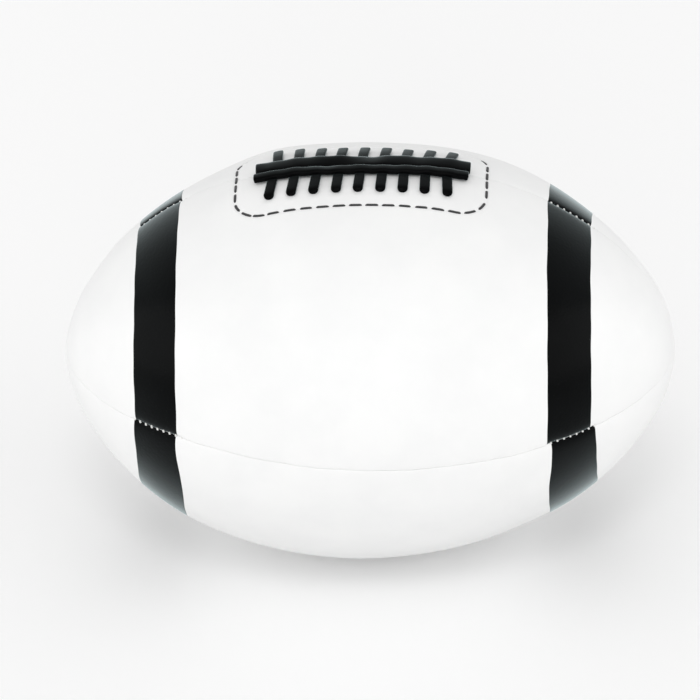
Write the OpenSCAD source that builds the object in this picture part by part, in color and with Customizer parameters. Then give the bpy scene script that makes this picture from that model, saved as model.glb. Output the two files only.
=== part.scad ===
/* [Ball] */
// Length of the inflated ball from tip to tip
ball_len = 266; // [250:1:282]
// Largest diameter, at the middle of the ball
ball_d = 182; // [170:1:194]
// Radius of the rounded tips
nose_r = 56; // [50:1:62]

/* [Cover] */
// Thickness of a cover panel
cover_t = 2; // [1.4:0.1:2.4]
// Angle that each upper panel spans round the long axis
upper_arc = 94; // [84:1:98]
// Thickness of the fabric lining behind each panel
lining_t = 0.6; // [0.4:0.1:0.8]

/* [Seams] */
// Gap between the turned-in edges of two panels
seam_gap = 0.2; // [0.1:0.05:0.4]
// Radius of the edge that turns into the seam
seam_edge_r = 2.2; // [1.8:0.1:3]
// Depth of the seam valley
seam_depth = 2; // [1.6:0.1:2.2]
// Depth that the turned-in edges reach below the surface
seam_allowance = 6.2; // [5.8:0.1:7]
// Diameter of the seam thread
seam_thread_d = 0.7; // [0.4:0.1:1]
// Distance from the long axis at which the seam threads end
seam_end_r = 3; // [2:0.5:6]

/* [Stripes] */
// Distance of the stripes' middle from the tip nearest to them
stripe_inset = 44; // [36:1:52]
// Width of a stripe along the ball
stripe_w = 19; // [12:1:26]
// Thickness of the strip that makes the stripe
stripe_t = 0.6; // [0.4:0.1:1]
// How far stripes on neighbouring panels miss each other at a seam
stripe_stagger = 1; // [0:0.25:2]

/* [Lacing] */
// Distance of the lacing's middle from the middle of the ball
lace_x = -2; // [-6:0.5:6]
// Number of bars that the cross lace makes
lace_count = 9; // [5:2:9]
// Distance from one bar to the next
lace_pitch = 9.5; // [8:0.5:9.5]
// Width of the cross lace
lace_w = 4.5; // [3:0.1:5]
// Thickness of the cross lace
lace_t = 1.5; // [1:0.1:1.6]
// Length of a bar from one leg's outer face to the other's
bar_len = 36; // [32:1:42]
// Inner radius where a lace turns down through the cover
bend_r = 0.5; // [0.4:0.1:0.8]
// Length of the two long laces
long_len = 92; // [88:1:98]
// Width of a long lace
long_w = 5.4; // [4:0.1:6]
// Thickness of a long lace
long_t = 1.8; // [1.4:0.1:2]
// Gap between the two long laces
long_gap = 0.2; // [0.1:0.1:0.6]
// Width of the slit between the upper panels under the lacing
slit_w = 1.2; // [0.6:0.1:2]

/* [Facing] */
// Length of the stitched frame round the lacing
frame_len = 108; // [104:1:116]
// Width of the stitched frame, measured over the surface
frame_w = 52; // [50:1:60]
// Radius of the stitched frame's corners
frame_r = 14; // [5:1:18]
// How far a facing reaches past its stitches
facing_rim = 4; // [2:0.5:6]
// Thickness of a facing
facing_t = 0.9; // [0.6:0.1:1]
// Length of one stitch
stitch_len = 5.2; // [4:0.1:6]
// Distance from one stitch to the next
stitch_pitch = 7; // [6.5:0.1:9]
// Diameter of the stitching thread
stitch_d = 0.8; // [0.5:0.1:1]
// Width of the tongue, measured over the surface
tongue_w = 46; // [40:1:50]
// Length of the tongue
tongue_len = 104; // [100:1:112]
// Thickness of the tongue
tongue_t = 0.8; // [0.5:0.1:0.9]

/* [Bladder and valve] */
// Thickness of the bladder
bladder_t = 0.8; // [0.5:0.1:1.2]
// Diameter of the valve sleeve's stem
sleeve_d = 10; // [9:0.5:12]
// Length of the valve sleeve
sleeve_len = 19; // [17:0.5:24]
// Diameter of the valve sleeve's collar
collar_d = 22; // [18:1:26]
// Thickness of the valve sleeve's collar
collar_t = 1; // [0.8:0.1:1.2]
// Diameter of the self-closing plug
plug_d = 6.6; // [5:0.1:7]
// Length of the self-closing plug
plug_len = 16; // [14:0.5:17]
// Diameter of the needle hole
needle_d = 2; // [1.6:0.1:2.4]
// Depth of the needle hole
needle_depth = 12; // [8:0.5:13]
// Depth of the plug's face below the cover
plug_recess = 0.3; // [0.1:0.1:0.8]
// Diameter of the patch round the valve hole
patch_d = 34; // [28:1:44]
// Thickness of the patch
patch_t = 0.8; // [0.5:0.1:1]

/* [Clearances] */
// Gap between layers that lie on each other
seat_gap = 0.05; // [0.03:0.01:0.1]
// Gap round a lace in its hole
hole_gap = 0.15; // [0.1:0.05:0.3]
// Gap round the valve sleeve in the cover
valve_gap = 0.3; // [0.1:0.1:0.5]

/* [Hidden] */
$fn = 96;

// Reach of cutting shapes past what they cut
past = 1;
// Where two stretches of one piece join, they overlap, and one is a hair larger
lap = 0.3;
hair = 0.01;

// Angles round the long axis run from straight up over the front, where -Y is, to the bottom and back
front_upper_arc = [0, upper_arc];
front_lower_arc = [upper_arc, 180];
back_lower_arc = [180, 360 - upper_arc];
back_upper_arc = [360 - upper_arc, 360];

// How far each panel's left and right stripe sit off their nominal places, as on hand-sewn panels
front_upper_shift = stripe_stagger * [-1, -1];
front_lower_shift = stripe_stagger * [-1, 0.5];
back_lower_shift = stripe_stagger * [0, 0];
back_upper_shift = stripe_stagger * [1, -0.5];

// Meridian of the ball: tip, shoulder, belly, shoulder and tip arcs, each tangent to the next.
// The normals where belly meets shoulder and shoulder meets tip are those of 7-24-25 and 3-4-5 triangles.
belly_normal = [0.28, 0.96];
nose_normal = [0.8, 0.6];
half_len = ball_len / 2;
half_d = ball_d / 2;
across = nose_normal - belly_normal;
rest_len = half_len - nose_r * (1 - nose_normal[0]);
rest_d = half_d - nose_r * nose_normal[1];
share = -belly_normal[0] * across[1] - across[0] * (1 - belly_normal[1]);
belly_r = (-rest_len * across[1] - across[0] * rest_d) / share;
shoulder_r = (belly_normal[0] * rest_d - (1 - belly_normal[1]) * rest_len) / share;
belly_z = half_d - belly_r;
shoulder_x = (belly_r - shoulder_r) * belly_normal[0];
shoulder_z = belly_z + (belly_r - shoulder_r) * belly_normal[1];
nose_x = half_len - nose_r;
stripe_x = half_len - stripe_inset;
belly_phi = atan2(belly_normal[1], belly_normal[0]);
nose_phi = atan2(nose_normal[1], nose_normal[0]);

// Each arc: its centre's x and height, its radius, and the angles of its normals from left to right
arcs = [
    [-nose_x, 0, nose_r, 180, 180 - nose_phi],
    [-shoulder_x, shoulder_z, shoulder_r, 180 - nose_phi, 180 - belly_phi],
    [0, belly_z, belly_r, 180 - belly_phi, belly_phi],
    [shoulder_x, shoulder_z, shoulder_r, belly_phi, nose_phi],
    [nose_x, 0, nose_r, nose_phi, 0]
];

function arc_x(arc, phi, inset = 0) = arc[0] + (arc[2] - inset) * cos(phi);
function arc_at(x) = [for (arc = arcs) if (x >= arc_x(arc, arc[3]) && x <= arc_x(arc, arc[4])) arc][0];
function arc_phi(arc, x) = acos(max(-1, min(1, (x - arc[0]) / arc[2])));
function surface_phi(x) = arc_phi(arc_at(x), x);
function surface_r(x) = let (arc = arc_at(x)) arc[1] + arc[2] * sin(arc_phi(arc, x));
function turn(x, distance) = distance / surface_r(x) * 180 / PI;

// Depths below the surface at which the inner layers start
lining_in = cover_t + seat_gap;
facing_in = lining_in + lining_t + seat_gap;
under_in = facing_in + facing_t + seat_gap;
tongue_in = under_in + lace_t + seat_gap;
bladder_in = max(seam_allowance, tongue_in + tongue_t) + seat_gap;

// Half the thickness that two turned-in edges take at a seam
edge_half = cover_t + seam_gap / 2;
// Height of the seam thread where it rests on both edges of the valley
thread_reach = seam_edge_r + seam_thread_d / 2 + seat_gap;
thread_v = sqrt(thread_reach * thread_reach - seam_edge_r * seam_edge_r) - seam_depth;
// Place where the seam threads end near a tip
seam_end_x = nose_x + sqrt(nose_r * nose_r - seam_end_r * seam_end_r);

// Places of the lacing
bar_x = [for (i = [0:lace_count - 1]) lace_x + (i - (lace_count - 1) / 2) * lace_pitch];
leg_y = bend_r + lace_t / 2;
bend_reach = bar_len / 2 - bend_r - lace_t;
long_seat = seat_gap + lace_t + seat_gap;
long_u = (long_w + long_gap) / 2;
long_leg = bend_r + long_t / 2;
long_end = long_len / 2 - bend_r - long_t;
slot_end = long_len / 2 + hole_gap;
tail_in = tongue_in - seat_gap;
relief_len = tongue_len + 2 * past;

// Place of the valve, in the middle of the lower back panel
valve_angle = (back_lower_arc[0] + back_lower_arc[1]) / 2;
collar_in = bladder_in - seat_gap;
patch_in = facing_in;

// A rounded bar section, w wide and t thick
module stadium(w, t) {
    square([w - t, t], center = true);
    for (s = [-1, 1])
        translate([s * (w - t) / 2, 0])
            circle(d = t);
}

// Half of the ball's lengthwise section, inset from the surface
module half_oval(inset) {
    for (arc = arcs) {
        low = arc_x(arc, arc[3], inset) - (arc[3] == 180 ? past : 0);
        high = arc_x(arc, arc[4], inset) + (arc[4] == 0 ? past : 0);
        intersection() {
            translate([arc[1], arc[0]])
                circle(arc[2] - inset);
            translate([0, low])
                square([ball_d, high - low]);
        }
    }
}

// Section of a layer between two depths below the surface
module layer(outer, inner) {
    difference() {
        half_oval(outer);
        half_oval(inner);
    }
}

// The part of a layer's section between two places along the ball
module band(outer, inner, x0, x1) {
    intersection() {
        layer(outer, inner);
        translate([0, x0])
            square([ball_d, x1 - x0]);
    }
}

// Turns a section round the long axis through a span of angles
module spin(span) {
    rotate([0, 90, 0])
        rotate([0, 0, 180 + span[0]])
            rotate_extrude(angle = span[1] - span[0])
                children();
}

// Sweeps a section along the top meridian: its first axis is height, its second points to the front.
// The section grows by $grow on the shoulders, which overlap the belly and the tips by lap degrees.
module sweep(x0, x1) {
    for (i = [0:len(arcs) - 1]) {
        arc = arcs[i];
        $grow = hair * (i % 2);
        low = max(x0, arc_x(arc, arc[3]));
        high = min(x1, arc_x(arc, arc[4]));
        from = arc_phi(arc, high) - (high < x1 ? lap : 0);
        to = arc_phi(arc, low) + (low > x0 ? lap : 0);
        if (low < high)
            translate([arc[0], 0, arc[1]])
                rotate([90, 0, 0])
                    rotate([0, 0, from])
                        rotate_extrude(angle = to - from)
                            translate([arc[2], 0])
                                children();
    }
}

// Places something on the surface, with its z axis along the outward normal
module on_surface(x, angle) {
    rotate([angle, 0, 0])
        translate([x, 0, surface_r(x)])
            rotate([0, 90 - surface_phi(x), 0])
                children();
}

// A slab along one seam's half plane
module seam_slab(angle, half_t) {
    rotate([angle, 0, 0])
        translate([-half_len - past, -half_t, 0])
            cube([ball_len + 2 * past, 2 * half_t, ball_d]);
}

// The rounded valley cut along one seam
module seam_valley(angle, x0, x1) {
    floor_v = -seam_depth + 2 * seam_gap;
    rotate([angle, 0, 0])
        sweep(x0, x1)
            difference() {
                translate([floor_v - $grow, -seam_edge_r - $grow])
                    square([past - floor_v + 2 * $grow, 2 * (seam_edge_r + $grow)]);
                for (s = [-1, 1])
                    translate([-seam_depth, s * seam_edge_r])
                        circle(seam_edge_r - $grow);
            }
}

// An inner layer of one panel, which stays clear of the turned-in edges
module inner_layer(span, outer, inner, side) {
    difference() {
        spin(span)
            layer(outer, inner);
        for (angle = span)
            seam_slab(angle, side);
    }
}

// Edges of a stripe along the ball, for its side (0 left, 1 right) and its panel's shift
function stripe_edge(side, shift, edge) = (side * 2 - 1) * stripe_x + shift[side] + edge * stripe_w / 2;

module panel(span, shift) {
    difference() {
        spin(span)
            layer(0, seam_allowance);
        inner_layer(span, cover_t, seam_allowance + past, edge_half);
        for (angle = span) {
            seam_slab(angle, seam_gap / 2);
            seam_valley(angle, -seam_end_x, seam_end_x);
        }
        for (side = [0, 1])
            spin(span)
                band(-past, stripe_t + seat_gap, stripe_edge(side, shift, -1), stripe_edge(side, shift, 1));
    }
}

module stripe(span, shift, side) {
    x0 = stripe_edge(side, shift, -1);
    x1 = stripe_edge(side, shift, 1);
    color("#141416")
        difference() {
            spin(span)
                band(0, stripe_t, x0 + seat_gap, x1 - seat_gap);
            for (angle = span) {
                seam_slab(angle, seam_gap / 2);
                seam_valley(angle, x0 - past, x1 + past);
            }
        }
}

module lining(span) {
    inner_layer(span, lining_in, lining_in + lining_t, edge_half + seat_gap);
}

// A hole for one leg of the cross lace, in the front panel
module leg_hole(x) {
    on_surface(x, turn(x, bend_reach))
        translate([0, -leg_y, -seam_allowance])
            linear_extrude(seam_allowance + past)
                stadium(lace_w + 2 * hole_gap, lace_t + 2 * hole_gap);
}

// The openings for the lacing: leg holes on one side (s is 1 at the front), the slit, and a slot for the
// long laces at each end
module lace_openings(s) {
    mirror([0, s > 0 ? 0 : 1, 0])
        for (x = bar_x)
            leg_hole(x);
    translate([lace_x - long_len / 2 + long_t / 2, -slit_w / 2, 0])
        cube([long_len - long_t, slit_w, ball_d]);
    for (end = [-1, 1])
        on_surface(lace_x + end * long_end, 0)
            translate([end * long_leg, 0, -seam_allowance])
                linear_extrude(seam_allowance + past)
                    rotate(90)
                        stadium(2 * long_w + long_gap + 2 * hole_gap, long_t + 2 * hole_gap);
}

// The turned-in edges stop where the tongue lies
module tongue_relief() {
    intersection() {
        spin([-upper_arc / 2, upper_arc / 2])
            layer(cover_t, seam_allowance + past);
        translate([lace_x - relief_len / 2, -edge_half - past, 0])
            cube([relief_len, 2 * (edge_half + past), ball_d]);
    }
}

module laced_panel(span, shift, s) {
    color("#f4f4f2")
        difference() {
            panel(span, shift);
            tongue_relief();
            lace_openings(s);
        }
}

module laced_lining(span, s) {
    color("#e6e2d8")
        difference() {
            lining(span);
            lace_openings(s);
        }
}

// A straight round cut along the valve's axis
module valve_cut(d) {
    on_surface(0, valve_angle)
        translate([0, 0, -sleeve_len])
            cylinder(d = d, h = sleeve_len + past);
}

// One thread along a seam's valley
module seam_thread(angle, x0, x1) {
    color("#fafaf8")
        rotate([angle, 0, 0])
            sweep(x0, x1)
                translate([thread_v, 0])
                    circle(d = seam_thread_d + $grow);
}

// Half of a bar's end: a stub over the bar, the bend and the leg that goes down through the front panel
module bar_leg(x) {
    bend_z = seat_gap - bend_r;
    on_surface(x, turn(x, bend_reach)) {
        translate([0, 0, seat_gap + lace_t / 2])
            rotate([-90, 0, 0])
                linear_extrude(lap)
                    stadium(lace_w + hair, lace_t + hair);
        translate([0, 0, bend_z])
            rotate([180, 0, 0])
                rotate([0, 90, 0])
                    rotate_extrude(angle = 90)
                        translate([leg_y, 0])
                            rotate(90)
                                stadium(lace_w + hair, lace_t + hair);
        translate([0, -leg_y, -under_in - lace_t / 2])
            linear_extrude(under_in + lace_t / 2 + bend_z)
                stadium(lace_w + hair, lace_t + hair);
    }
}

// One bar of the cross lace over the slit, with both its legs
module bar(x) {
    reach = turn(x, bend_reach);
    spin([-reach, reach])
        translate([surface_r(x), x])
            rotate(90 - surface_phi(x))
                translate([seat_gap + lace_t / 2, 0])
                    rotate(90)
                        stadium(lace_w, lace_t);
    bar_leg(x);
    mirror([0, 1, 0])
        bar_leg(x);
}

// The run of the cross lace under the front facing, from one bar's leg to the next
module under_run(x0, x1) {
    rotate([turn((x0 + x1) / 2, bend_reach), 0, 0])
        translate([0, -leg_y, 0])
            sweep(x0 - lace_w / 2, x1 + lace_w / 2)
                translate([-under_in - lace_t / 2, 0])
                    square([lace_t, lace_w], center = true);
}

module cross_lace() {
    color("#101012") {
        for (x = bar_x)
            bar(x);
        for (i = [0:lace_count - 2])
            mirror([0, 1 - i % 2, 0])
                under_run(bar_x[i], bar_x[i + 1]);
    }
}

// The end of a long lace: a stub over it, the bend and the tail that goes down through the cover.
// s is 1 on the front lace
module long_lace_end(s) {
    bend_z = long_seat - bend_r;
    translate([0, -s * long_u, 0]) {
        translate([-lap, 0, long_seat + long_t / 2])
            rotate([90, 0, 90])
                linear_extrude(lap)
                    stadium(long_w + hair, long_t + hair);
        translate([0, 0, bend_z])
            rotate([0, -90, -90])
                rotate_extrude(angle = 90)
                    translate([long_leg, 0])
                        rotate(90)
                            stadium(long_w + hair, long_t + hair);
        translate([long_leg, 0, -tail_in])
            linear_extrude(tail_in + bend_z)
                rotate(90)
                    stadium(long_w + hair, long_t + hair);
    }
}

module long_lace(s) {
    color("#101012") {
        sweep(lace_x - long_end, lace_x + long_end)
            translate([long_seat + long_t / 2, s * long_u])
                rotate(90)
                    stadium(long_w, long_t);
        on_surface(lace_x + long_end, 0)
            long_lace_end(s);
        on_surface(lace_x - long_end, 0)
            rotate([0, 0, 180])
                long_lace_end(-s);
    }
}

// The facing behind the front panel's punched edge
module facing() {
    reach = (frame_w / 2 + facing_rim) / half_d * 180 / PI;
    half_w = half_d * sin(reach);
    corner = frame_r + facing_rim;
    length = frame_len + 2 * facing_rim;
    color("#cfcabd")
        difference() {
            intersection() {
                spin([0, upper_arc / 2])
                    layer(facing_in, facing_in + facing_t);
                translate([lace_x - length / 2, -half_w, 0])
                    linear_extrude(ball_d)
                        difference() {
                            square([length, half_w - edge_half - seat_gap]);
                            for (s = [-1, 1])
                                translate([length / 2 + s * (length / 2 - corner), corner])
                                    corner_waste(s, corner);
                        }
            }
            lace_openings(1);
        }
}

// What is left outside a rounded corner; s is 1 at the right end
module corner_waste(s, r) {
    difference() {
        translate([s > 0 ? 0 : -r - past, -r - past])
            square([r + past, r + past]);
        circle(r);
    }
}

// One stitch: a short thread with round ends, lying along x on the surface
module stitch() {
    translate([0, 0, seat_gap + stitch_d / 2])
        rotate([0, 90, 0])
            rotate_extrude()
                intersection() {
                    rotate(90)
                        stadium(stitch_len, stitch_d);
                    translate([0, -stitch_len])
                        square([stitch_d, 2 * stitch_len]);
                }
}

// The stitched frame's path over the front panel, from the slit's line on the left to that on the right
side_run = frame_w / 2 - frame_r;
corner_run = frame_r * PI / 2;
long_run = frame_len - 2 * frame_r;
path_len = 2 * side_run + 2 * corner_run + long_run;
stitch_count = round(path_len / stitch_pitch);

// Place on that path after a run s: x from the lacing's middle, distance from the slit, and heading
function path_place(s) =
    s < side_run ? [-frame_len / 2, s, 90]
    : s < side_run + corner_run ? let (t = (s - side_run) / corner_run * 90)
        [-long_run / 2 - frame_r * cos(t), side_run + frame_r * sin(t), 90 - t]
    : s <= path_len / 2 ? [s - path_len / 2, frame_w / 2, 0]
    : let (p = path_place(path_len - s)) [-p[0], p[1], -p[2]];

module facing_stitches() {
    color("#1a1a1c")
        for (i = [0:stitch_count - 1]) {
            place = path_place((i + 0.5) * path_len / stitch_count);
            x = lace_x + place[0];
            on_surface(x, turn(x, place[1]))
                rotate([0, 0, -place[2]])
                    stitch();
        }
}

module panel_front_upper() {
    laced_panel(front_upper_arc, front_upper_shift, 1);
}

module panel_back_upper() {
    laced_panel(back_upper_arc, back_upper_shift, -1);
}

module panel_front_lower() {
    color("#f4f4f2")
        panel(front_lower_arc, front_lower_shift);
}

module panel_back_lower() {
    color("#f4f4f2")
        difference() {
            panel(back_lower_arc, back_lower_shift);
            valve_cut(sleeve_d + 2 * valve_gap);
        }
}

module lining_front_upper() {
    laced_lining(front_upper_arc, 1);
}

module lining_back_upper() {
    laced_lining(back_upper_arc, -1);
}

module lining_front_lower() {
    color("#e6e2d8")
        lining(front_lower_arc);
}

module lining_back_lower() {
    color("#e6e2d8")
        difference() {
            lining(back_lower_arc);
            valve_cut(sleeve_d + 2 * valve_gap);
        }
}

module seam_thread_top() {
    seam_thread(0, -seam_end_x, lace_x - slot_end - past);
    seam_thread(0, lace_x + slot_end + past, seam_end_x);
}

module lace_facing_front() {
    facing();
}

module lace_facing_back() {
    mirror([0, 1, 0])
        facing();
}

module facing_stitches_front() {
    facing_stitches();
}

module facing_stitches_back() {
    mirror([0, 1, 0])
        facing_stitches();
}

module lace_tongue() {
    reach = turn(0, tongue_w / 2);
    color("#3a3a3c")
        spin([-reach, reach])
            band(tongue_in, tongue_in + tongue_t, lace_x - tongue_len / 2, lace_x + tongue_len / 2);
}

module bladder() {
    color("#2b2b2d")
        difference() {
            rotate([0, 90, 0])
                rotate_extrude()
                    layer(bladder_in, bladder_in + bladder_t);
            valve_cut(sleeve_d + 2 * seat_gap);
        }
}

module valve_sleeve() {
    color("#3c3c3e")
        on_surface(0, valve_angle)
            difference() {
                union() {
                    translate([0, 0, -sleeve_len])
                        cylinder(d = sleeve_d, h = sleeve_len - plug_recess);
                    translate([0, 0, -collar_in])
                        cylinder(d = collar_d, h = collar_t);
                }
                translate([0, 0, -plug_recess - plug_len - seat_gap])
                    cylinder(d = plug_d + 2 * seat_gap, h = plug_len + seat_gap + past);
            }
}

module valve_plug() {
    color("#202022")
        on_surface(0, valve_angle)
            translate([0, 0, -plug_recess])
                difference() {
                    translate([0, 0, -plug_len])
                        cylinder(d = plug_d, h = plug_len);
                    translate([0, 0, -needle_depth])
                        cylinder(d = needle_d, h = needle_depth + past);
                }
}

module valve_patch() {
    color("#cfcabd")
        difference() {
            intersection() {
                spin(back_lower_arc)
                    layer(patch_in, patch_in + patch_t);
                valve_cut(patch_d);
            }
            valve_cut(sleeve_d + 2 * valve_gap);
        }
}

panel_front_upper();
panel_front_lower();
panel_back_lower();
panel_back_upper();
stripe(front_upper_arc, front_upper_shift, 0);  // stripe_front_upper_left
stripe(front_upper_arc, front_upper_shift, 1);  // stripe_front_upper_right
stripe(front_lower_arc, front_lower_shift, 0);  // stripe_front_lower_left
stripe(front_lower_arc, front_lower_shift, 1);  // stripe_front_lower_right
stripe(back_lower_arc, back_lower_shift, 0);  // stripe_back_lower_left
stripe(back_lower_arc, back_lower_shift, 1);  // stripe_back_lower_right
stripe(back_upper_arc, back_upper_shift, 0);  // stripe_back_upper_left
stripe(back_upper_arc, back_upper_shift, 1);  // stripe_back_upper_right
lining_front_upper();
lining_front_lower();
lining_back_lower();
lining_back_upper();
seam_thread_top();
seam_thread(front_upper_arc[1], -seam_end_x, seam_end_x);  // seam_thread_front
seam_thread(front_lower_arc[1], -seam_end_x, seam_end_x);  // seam_thread_bottom
seam_thread(back_lower_arc[1], -seam_end_x, seam_end_x);  // seam_thread_back
cross_lace();
long_lace(1);  // long_lace_front
long_lace(-1);  // long_lace_back
lace_facing_front();
lace_facing_back();
facing_stitches_front();
facing_stitches_back();
lace_tongue();
bladder();
valve_sleeve();
valve_plug();
valve_patch();
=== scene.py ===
import math

import bmesh
import bpy
import numpy as np
from mathutils import Matrix, Vector


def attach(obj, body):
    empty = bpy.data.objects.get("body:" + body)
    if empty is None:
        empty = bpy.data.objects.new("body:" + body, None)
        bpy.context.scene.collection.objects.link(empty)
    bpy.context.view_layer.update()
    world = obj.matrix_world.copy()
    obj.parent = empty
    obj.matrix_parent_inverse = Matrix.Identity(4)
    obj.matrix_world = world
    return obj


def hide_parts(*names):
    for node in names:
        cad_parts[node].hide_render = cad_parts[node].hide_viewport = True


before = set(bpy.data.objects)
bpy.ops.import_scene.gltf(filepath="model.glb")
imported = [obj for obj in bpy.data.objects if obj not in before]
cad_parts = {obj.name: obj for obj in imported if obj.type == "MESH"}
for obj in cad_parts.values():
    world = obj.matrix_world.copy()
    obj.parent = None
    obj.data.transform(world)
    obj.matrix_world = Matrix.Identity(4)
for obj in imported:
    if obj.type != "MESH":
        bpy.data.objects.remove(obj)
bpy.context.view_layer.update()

MM = 0.001
rng = np.random.RandomState(7)

# All sizes are in mm and all angles in radians, unless a comment says otherwise

# The ball's meridian: belly, shoulder and tip arcs as (centre x, centre height, radius)
BELLY, SHOULDER, NOSE = (0.0, -84.0, 175.0), (9.8, -50.4, 140.0), (77.0, 0.0, 56.0)
BELLY_END, SHOULDER_END = 49.0, 121.8
BELLY_TURN = math.asin((BELLY_END - BELLY[0]) / BELLY[2])
SHOULDER_TURN = math.asin((SHOULDER_END - SHOULDER[0]) / SHOULDER[2])
BELLY_RUN = BELLY[2] * BELLY_TURN
SHOULDER_RUN = BELLY_RUN + SHOULDER[2] * (SHOULDER_TURN - BELLY_TURN)
HALF_RUN = SHOULDER_RUN + NOSE[2] * (math.pi / 2 - SHOULDER_TURN)
HALF_LENGTH = NOSE[0] + NOSE[2]
MID_RADIUS = BELLY[1] + BELLY[2]

# Angles of the seams round the long axis, from straight up over the front; panel k lies after seam k
SEAMS = [math.radians(a) for a in (0.0, 94.0, 180.0, 266.0, 360.0)]
SEAM_NAMES = ("top", "front", "bottom", "back")
PANELS = ["front_upper", "front_lower", "back_lower", "back_upper"]
COVER_T = 2.0

# How far the two seams in view bow off their planes along the ball, in degrees, and how each wanders
BOW_X = (-133, -100, -84, -62, -44, 0, 44, 66, 88, 133)
BOW = {0: (-13.5, -12.3, -10.8, -4.6, 0, 0, 0, -2.8, -5.8, -7.2),
       1: (-2.9, -2.9, -2.8, -2.1, -0.9, 0.2, 0.8, 1.3, 0.7, 0.5)}
NO_BOW = (0,) * len(BOW_X)
BOW_SPREAD = (-9, -3, 3, 9)
WANDER, WANDER_WAVES, WANDER_SEED, WANDER_R = 0.3, (97, 41, 23), 11, (4, 40)

# The valley along a seam and the crease in its bottom, and how hard the thread pulls on plain white cover
VALLEY_DEPTH, VALLEY_REACH = 0.85, 2.2
CREASE_DEPTH, CREASE_REACH = 0.4, 0.7
VALLEY_R = (0.5, 14)
TOP_PULL, OTHER_PULL = 0.22, 0.32
PULL_CHANGE, PULL_WAVES, PULL_SEED = 0.12, (13, 8.3, 29), 31

# Black strips: the distance of their middles from the ball's middle, their width, how far each is off its
# place at the left and at the right, and how far the two edges of some lean at the middle of their panel
STRIPE_X, STRIPE_W = 89.0, 19.0
STRIPE_SHIFT = {
    "front_upper": (-1.4, -1.5),
    "front_lower": (-2, 0.5),
    "back_lower": (0, 0),
    "back_upper": (-1.1, -1.1),
}
STRIPE_FLARE = {("front_lower", -1): (1.0, 2.6), ("front_lower", 1): (-1.7, 0.3)}
# Where a strip's pull on the seam fades, from its edge outward
STRIPE_FADE = (-0.5, 3)

# Lacing: distances s from the slit are positive on the front
LACE_X, LACE_COUNT, LACE_PITCH = -2.0, 9, 9.4
LACE_W, LACE_T, LACE_REST = 4.5, 1.6, 0.05
MID_BAR = (LACE_COUNT - 1) / 2
NEAR_TIP, FAR_TIP, FAR_EXTRA = 17.1, 18.8, 1.2
LACED_SIDES = ((1, "front"), (-1, "back"))
# How the bars lean: the shift of their near and far ends, how it grows from bar to bar, and where it is full
NEAR_LEAN, NEAR_LEAN_STEP = -1.1, 0.16
FAR_LEAN, FAR_LEAN_CURVE, FAR_BEND = 1.25, 0.04, 0.8
RIGHT_BEND, LEFT_BEND = 0.07, 0.03
LEAN_RUN, LEAN_POWER, UPRIGHT_RUN = 18.0, 1.4, 7
# Bars, counted from the middle one, between which the far ends come upright and stop reaching further back
UPRIGHT_BARS, REACH_BARS = (1, 4), (0.8, 2.2)

# Stitched frame round the lacing, the groove that it draws in the cover, and the dents at the lace holes
FRAME_LEN, FRAME_W, FRAME_R = 107.6, 52.0, 13.5
GROOVE_DEPTH, BACK_GROOVE, GROOVE_W = 0.28, 0.55, 0.7
DENT_DEPTH, DENT_X, DENT_S = 0.6, 3.0, 1.9

# Valve in the middle of the lower back panel: its place, its hole and the dent round it
VALVE_X, VALVE_ANGLE = 0.0, math.radians(223.0)
VALVE_R = 5.3
VALVE_DENT, VALVE_DENT_REACH = 0.5, 1.6

# How the filled cover swells and sags, as (height, x, spread), and between which angles
BACK_SWELLS = ((1.35, -42, 17), (1.1, 60, 26), (-0.35, 8, 20))
BACK_FROM, BACK_TO = (-0.05, 0.3), (-1.75, -1.1)
FRONT_SAGS = ((1.25, -80, 32), (0.45, -28, 26), (-0.4, 26, 22), (-1.1, 62, 20))
SAG_FROM, SAG_TO = (1.4, 1.95), (2.5, 3.05)
# How it is flattened at distances from the lacing's middle, drawn in at radii near the tips, and uneven
FLAT_RISE, FLAT_SINK, FLAT_ARC, FLAT_FROM, FLAT_TO = 1.95, 0.45, 0.33, (6, 42), (46, 80)
LEFT_DRAW, RIGHT_DRAW, DRAW_FROM, DRAW_TO = 0.9, 0.5, (2, 20), (30, 50)
UNEVEN, UNEVEN_WAVES, UNEVEN_SEEDS, UNEVEN_SKEW = 0.07, (46, 71, 33), (3, 4, 5), 0.6


# The ball's surface

def meridian(x):
    """The ball's radius at x, and its outward normal along x and along the radius."""
    a = np.abs(np.asarray(x, float))
    zones = [a <= BELLY_END, a <= SHOULDER_END]
    cx, cr, rad = (np.select(zones, [BELLY[j], SHOULDER[j]], NOSE[j]) for j in range(3))
    nx = np.clip((a - cx) / rad, 0, 1)
    nr = np.sqrt(1 - nx * nx)
    return cr + rad * nr, np.sign(x) * nx, nr


def run_to_x(run):
    """x after a run over the surface from the middle towards a tip."""
    a = np.abs(np.asarray(run, float))
    belly = BELLY[2] * np.sin(a / BELLY[2])
    shoulder = SHOULDER[0] + SHOULDER[2] * np.sin(BELLY_TURN + (a - BELLY_RUN) / SHOULDER[2])
    nose = NOSE[0] + NOSE[2] * np.sin(SHOULDER_TURN + (a - SHOULDER_RUN) / NOSE[2])
    return np.sign(run) * np.select([a <= BELLY_RUN, a <= SHOULDER_RUN], [belly, shoulder], nose)


def place(x, angle, height=0.0):
    """A point at x and an angle round the axis, at a height over the surface."""
    r, nx, nr = meridian(x)
    rr = r + height * nr
    return np.stack(np.broadcast_arrays(x + height * nx, -rr * np.sin(angle), rr * np.cos(angle)), -1)


def directions(x, angle):
    """Unit vectors at a place: along the ball, round it and outward."""
    _, nx, nr = meridian(x)
    sa, ca = np.sin(angle), np.cos(angle)
    zero = np.zeros_like(nr * sa)
    along = np.stack([nr + zero, nx * sa, -nx * ca], -1)
    around = np.stack([zero, -ca + zero, -sa + zero], -1)
    out = np.stack([nx + zero, -nr * sa, nr * ca], -1)
    return along, around, out


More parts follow.
